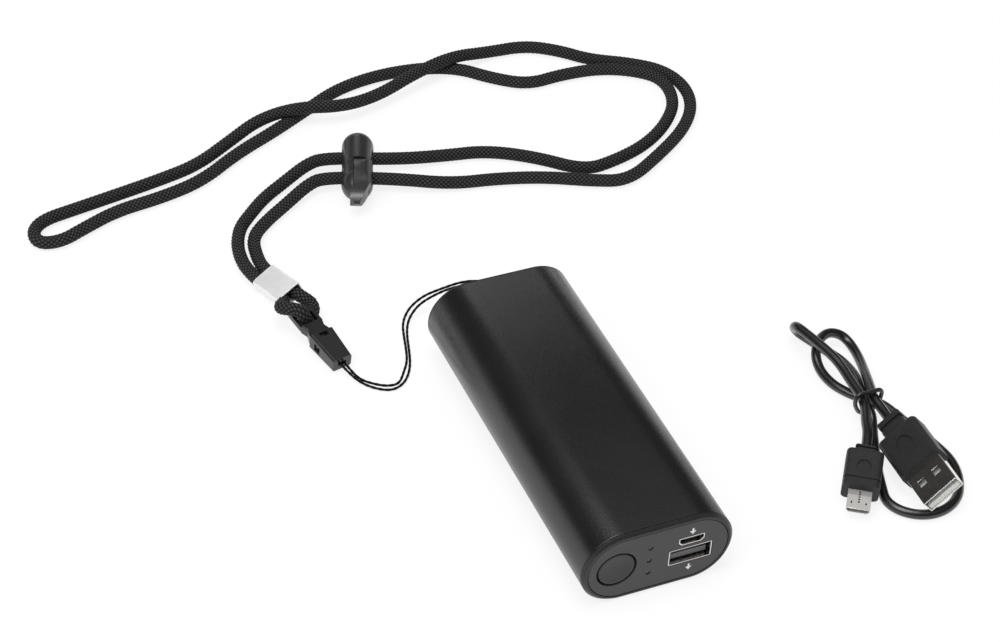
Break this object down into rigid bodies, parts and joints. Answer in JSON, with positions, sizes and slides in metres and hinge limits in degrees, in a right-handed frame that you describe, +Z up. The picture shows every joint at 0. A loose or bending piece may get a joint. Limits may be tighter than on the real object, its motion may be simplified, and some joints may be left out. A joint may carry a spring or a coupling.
{
  "type": "rechargeable hand warmer",
  "caption": "Pocket rechargeable hand warmer: rounded flat tube with button, status lights and charging sockets at one end, a neck lanyard with quick-release buckle, and a charging lead.",
  "frame": {"origin": "the middle of the casing's underside, where it rests", "axes": "+Y along the casing from the ports to the lanyard end, +X to the right seen from the ports with +Z up"},
  "size_m": [0.2325, 0.2538, 0.0244],
  "materials": {
    "casing": "fine matt black coating on drawn aluminium",
    "cap": "satin black moulding",
    "plate": "satin dark grey",
    "steel": "plain steel",
    "switch": "moulded black",
    "clear": "clear acrylic",
    "lamp": "small lamp lens",
    "board": "green solder mask",
    "component": "black moulded package",
    "ceramic": "tan ceramic",
    "nickel": "nickel plate",
    "tongue": "grey insulator",
    "contact": "gold flash",
    "cell": "wrapped round cell",
    "cradle": "grey moulding",
    "foam": "soft foam",
    "film": "amber heater film",
    "lead": "insulated wire",
    "braid": "black braided cord",
    "buckle": "satin black moulding",
    "clamp": "bright plate",
    "grip": "black moulded grip",
    "cable": "glossy black sheath"
  },
  "bodies": {
    "warmer": {"casing_tube": "casing", "front_cap": "cap", "front_plate": "plate", "rear_cap": "cap", "lanyard_pin": "steel", "switch_base": "switch", "light_guide": "clear", "status_lamps": "lamp", "button_board": "board", "main_board": "board", "power_coil": "component", "control_chip": "component", "power_transistors": "component", "board_capacitors": "ceramic", "board_screws": "steel", "large_port_shell": "nickel", "large_port_tongue": "tongue", "large_port_contacts": "contact", "small_port_shell": "nickel", "small_port_tongue": "tongue", "small_port_contacts": "contact", "cell_left": "cell", "cell_right": "cell", "cell_tab_front": "nickel", "cell_tab_rear": "nickel", "cell_cradle": "cradle", "end_foam": "foam", "heater_film_upper": "film", "heater_film_lower": "film", "insulating_pad_upper": "foam", "insulating_pad_lower": "foam", "heat_sensor": "ceramic", "heater_leads_upper": "lead", "heater_leads_lower": "lead", "sensor_leads": "lead", "battery_lead_positive": "lead", "battery_lead_negative": "lead", "lanyard_string": "braid", "buckle_socket": "buckle", "large_plug_shell": "nickel", "large_plug_core": "tongue", "large_plug_grip": "grip", "small_plug_shell": "nickel", "small_plug_core": "tongue", "small_plug_grip": "grip", "charge_cable": "cable", "cable_tie": "cable"},
    "power_button": {"power_button": "plate", "switch_plunger": "switch"},
    "neck_lanyard": {"buckle_insert": "buckle", "buckle_arms": "buckle", "buckle_loop": "braid", "cord_clamp": "clamp", "neck_cord": "braid"},
    "cord_lock": {"cord_lock_body": "buckle", "cord_lock_pin": "steel"},
    "cord_lock_lever": {"cord_lock_lever": "buckle"}
  },
  "joints": [
    {"name": "button_press", "type": "slide", "parent": "warmer", "child": "power_button", "axis": [0, 1, 0], "range_m": [0, 0.0005], "stiffness_N_per_m": 600},
    {"name": "buckle_release", "type": "slide", "parent": "warmer", "child": "neck_lanyard", "axis": [-0.2066, 0.9719, 0.1132], "range_m": [0, 0.012], "deforming": ["buckle_arms"]},
    {"name": "lock_slide", "type": "slide", "parent": "neck_lanyard", "child": "cord_lock", "axis": [0.9336, -0.3584, 0], "range_m": [-0.004, 0.004]},
    {"name": "lever_turn", "type": "hinge", "parent": "cord_lock", "child": "cord_lock_lever", "pos_m": [-0.01324, 0.14059, 0.008], "axis": [-0.9336, 0.3584, 0], "range_deg": [0, 40]}
  ]
}
